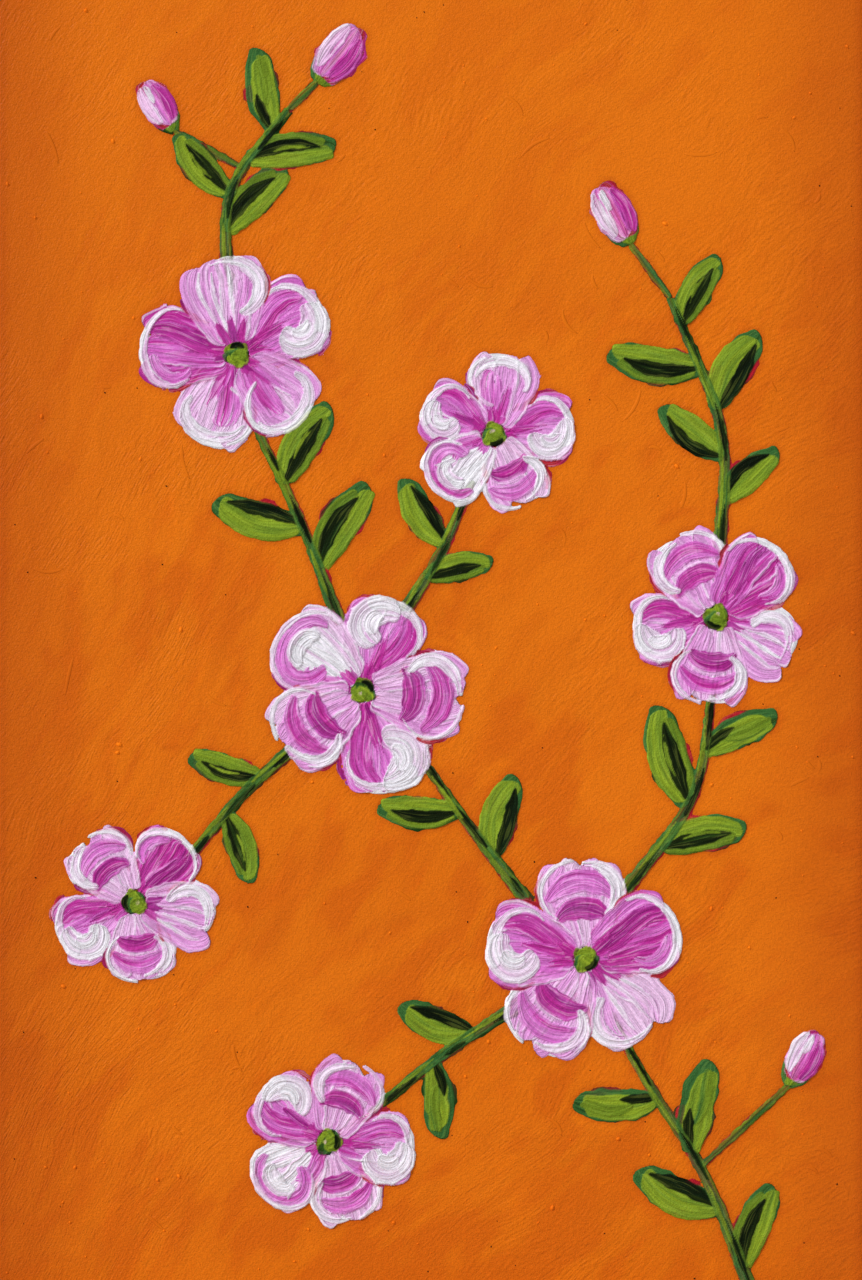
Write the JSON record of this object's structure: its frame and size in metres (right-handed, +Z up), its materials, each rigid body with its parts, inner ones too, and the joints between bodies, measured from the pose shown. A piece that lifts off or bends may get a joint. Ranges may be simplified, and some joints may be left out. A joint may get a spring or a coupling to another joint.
{
  "type": "stretched canvas painting",
  "caption": "Upright floral painting in thick acrylic on an orange ground, on canvas stretched over a keyed wooden frame and stapled at the back.",
  "frame": {"origin": "middle of the ledge that the picture hangs by: the underside of the top stretcher bar", "axes": "+Z up; the painted face looks along -Y and the open back along +Y; +X to the right as the picture is looked at"},
  "size_m": [0.305, 0.0225, 0.457],
  "materials": {
    "pine": "bare planed pine",
    "beech": "bare sawn beech",
    "canvas": "cotton canvas, brushed orange acrylic ground on the face and edges, white primer and raw cotton behind",
    "steel": "zinc-plated staple wire",
    "pink_paint": "thick acrylic paint in magenta, pinks and white, satin",
    "centre_paint": "thick acrylic paint in yellow-green, satin",
    "green_paint": "thick acrylic paint in greens, satin",
    "bud_paint": "thick acrylic paint in pinks, satin"
  },
  "bodies": {
    "root": {"stretcher_bar_top": "pine", "stretcher_bar_bottom": "pine", "stretcher_bar_right": "pine", "stretcher_bar_left": "pine", "key_top_right_across": "beech", "key_top_right_up": "beech", "key_top_left_across": "beech", "key_top_left_up": "beech", "key_bottom_right_across": "beech", "key_bottom_right_up": "beech", "key_bottom_left_across": "beech", "key_bottom_left_up": "beech", "canvas": "canvas", "staple_01": "steel", "staple_02": "steel", "staple_03": "steel", "staple_04": "steel", "staple_05": "steel", "staple_06": "steel", "staple_07": "steel", "staple_08": "steel", "staple_09": "steel", "staple_10": "steel", "staple_11": "steel", "staple_12": "steel", "staple_13": "steel", "staple_14": "steel", "staple_15": "steel", "staple_16": "steel", "staple_17": "steel", "staple_18": "steel", "staple_19": "steel", "staple_20": "steel", "blossom_1_petals": "pink_paint", "blossom_1_centre": "centre_paint", "blossom_2_petals": "pink_paint", "blossom_2_centre": "centre_paint", "blossom_3_petals": "pink_paint", "blossom_3_centre": "centre_paint", "blossom_4_petals": "pink_paint", "blossom_4_centre": "centre_paint", "blossom_5_petals": "pink_paint", "blossom_5_centre": "centre_paint", "blossom_6_petals": "pink_paint", "blossom_6_centre": "centre_paint", "blossom_7_petals": "pink_paint", "blossom_7_centre": "centre_paint", "twig_1": "green_paint", "twig_2": "green_paint", "twig_3": "green_paint", "twig_4": "green_paint", "twig_5": "green_paint", "twig_6": "green_paint", "twig_7": "green_paint", "twig_8": "green_paint", "twig_9": "green_paint", "bud_1": "bud_paint", "bud_2": "bud_paint", "bud_3": "bud_paint", "bud_4": "bud_paint"}
  },
  "joints": []
}
